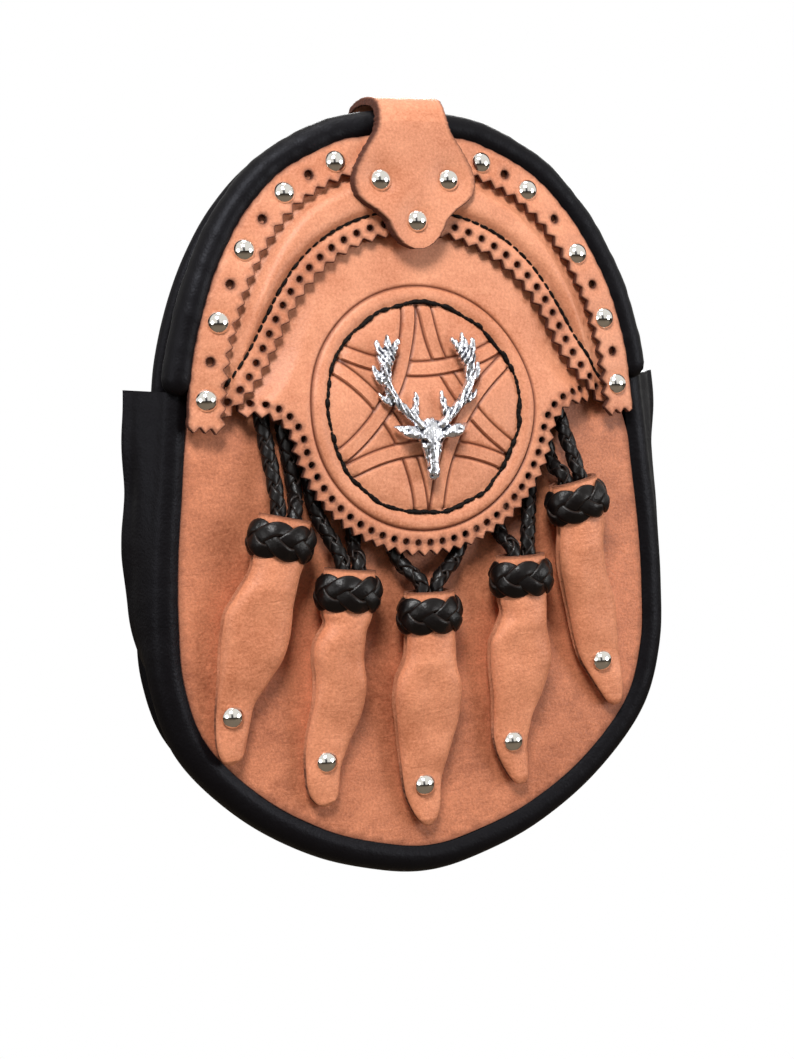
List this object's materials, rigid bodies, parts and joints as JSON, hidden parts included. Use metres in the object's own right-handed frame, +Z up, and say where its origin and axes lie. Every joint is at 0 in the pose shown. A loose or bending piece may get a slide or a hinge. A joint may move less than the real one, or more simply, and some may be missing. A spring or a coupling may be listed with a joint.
{
  "type": "sporran pouch",
  "caption": "Leather sporran pouch with a rounded studded strip, a pierced arch, a round carved flap, braided-cord tassels, a closing tab and a cast stag badge.",
  "frame": {"origin": "middle of the belt tunnel on the back, where the pouch hangs on its strap", "axes": "+Z up the pouch, +Y out of its back, so the front faces -Y; +X to the right as the front is seen"},
  "size_m": [0.1766, 0.0419, 0.2334],
  "materials": {
    "tan_leather": "smooth tan, waxed, with dark raw edges",
    "panel_leather": "smooth darker tan",
    "black_leather": "grained black, half gloss",
    "black_lace": "glossy braided black lace",
    "nickel": "polished nickel",
    "antique_silver": "antiqued cast silver, dark in its recesses"
  },
  "bodies": {
    "root": {"back_panel": "black_leather", "back_roll": "black_leather", "back_loop": "black_leather", "gusset": "black_leather", "front_panel": "panel_leather", "upper_roll": "black_leather", "flap": "tan_leather", "arch": "tan_leather", "strip": "tan_leather", "closing_tab": "tan_leather", "strip_stud_01": "nickel", "strip_stud_02": "nickel", "strip_stud_03": "nickel", "strip_stud_04": "nickel", "strip_stud_05": "nickel", "strip_stud_06": "nickel", "strip_stud_07": "nickel", "strip_stud_08": "nickel", "strip_stud_09": "nickel", "strip_stud_10": "nickel", "tab_stud_01": "nickel", "tab_stud_02": "nickel", "tab_stud_03": "nickel", "tassel_leather_1": "tan_leather", "tassel_leather_2": "tan_leather", "tassel_leather_3": "tan_leather", "tassel_leather_4": "tan_leather", "tassel_leather_5": "tan_leather", "tassel_knot_1": "black_lace", "tassel_knot_2": "black_lace", "tassel_knot_3": "black_lace", "tassel_knot_4": "black_lace", "tassel_knot_5": "black_lace", "tassel_stud_1": "nickel", "tassel_stud_2": "nickel", "tassel_stud_3": "nickel", "tassel_stud_4": "nickel", "tassel_stud_5": "nickel", "tassel_cord_1a": "black_lace", "tassel_cord_1b": "black_lace", "tassel_cord_2a": "black_lace", "tassel_cord_2b": "black_lace", "tassel_cord_3a": "black_lace", "tassel_cord_3b": "black_lace", "tassel_cord_4a": "black_lace", "tassel_cord_4b": "black_lace", "tassel_cord_5a": "black_lace", "tassel_cord_5b": "black_lace", "stag_badge": "antique_silver"}
  },
  "joints": []
}
